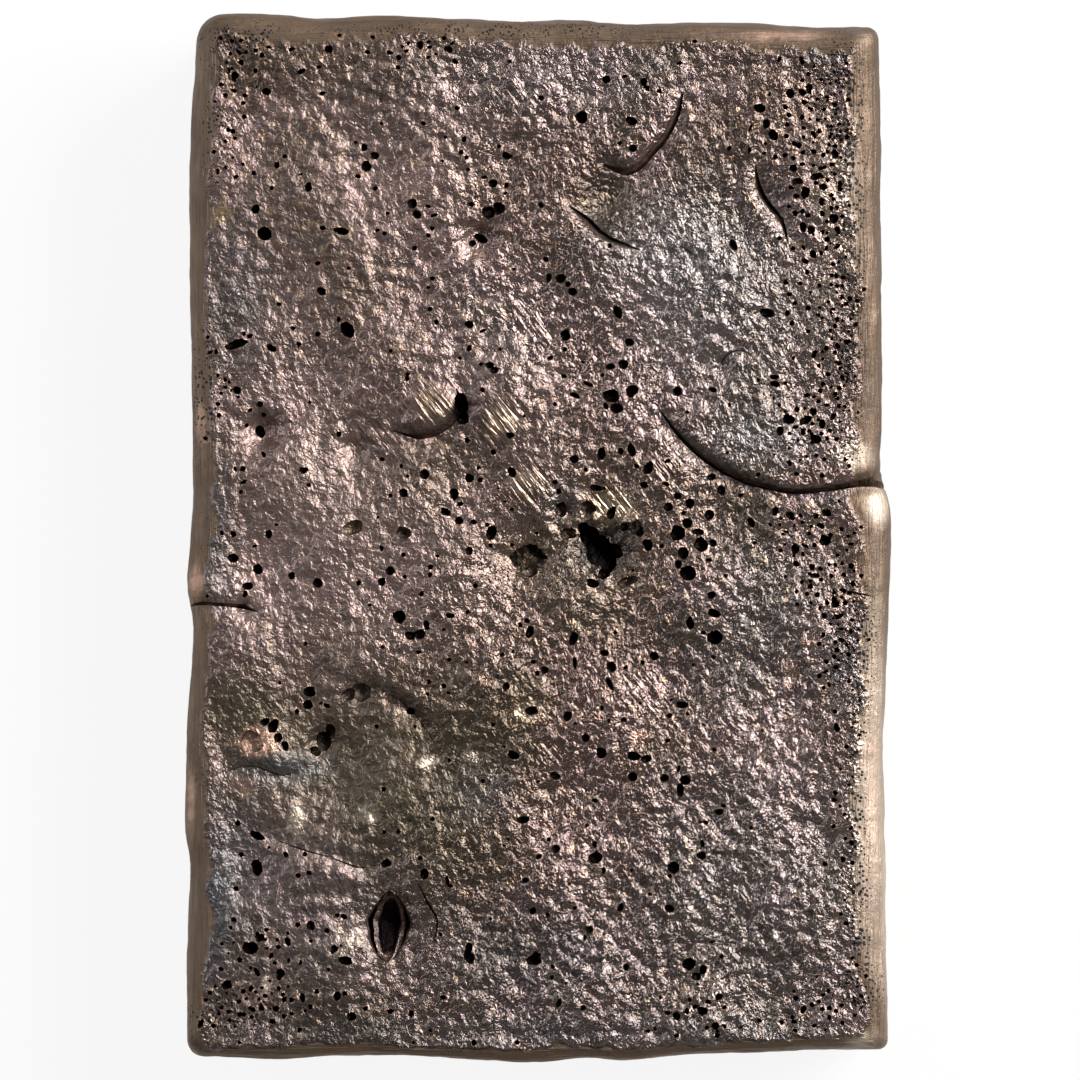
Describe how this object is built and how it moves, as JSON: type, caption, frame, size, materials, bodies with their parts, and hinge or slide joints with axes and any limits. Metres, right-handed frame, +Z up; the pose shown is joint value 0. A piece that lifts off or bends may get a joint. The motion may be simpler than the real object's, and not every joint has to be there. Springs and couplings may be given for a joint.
{
  "type": "copper ingot",
  "caption": "Rectangular slab of raw cast copper with a rounded rim, drafted walls, a flat foot and a rough open face with cold shuts, cavities and gas holes; raw stock for melting.",
  "frame": {"origin": "middle of the flat foot that the ingot rests on", "axes": "+X across the width, +Y along the length, +Z up out of the rough open face"},
  "size_m": [0.0808, 0.1199, 0.0217],
  "materials": {
    "copper": "as-cast copper with a dark brown oxide skin, satin"
  },
  "bodies": {
    "root": {"ingot": "copper"}
  },
  "joints": []
}
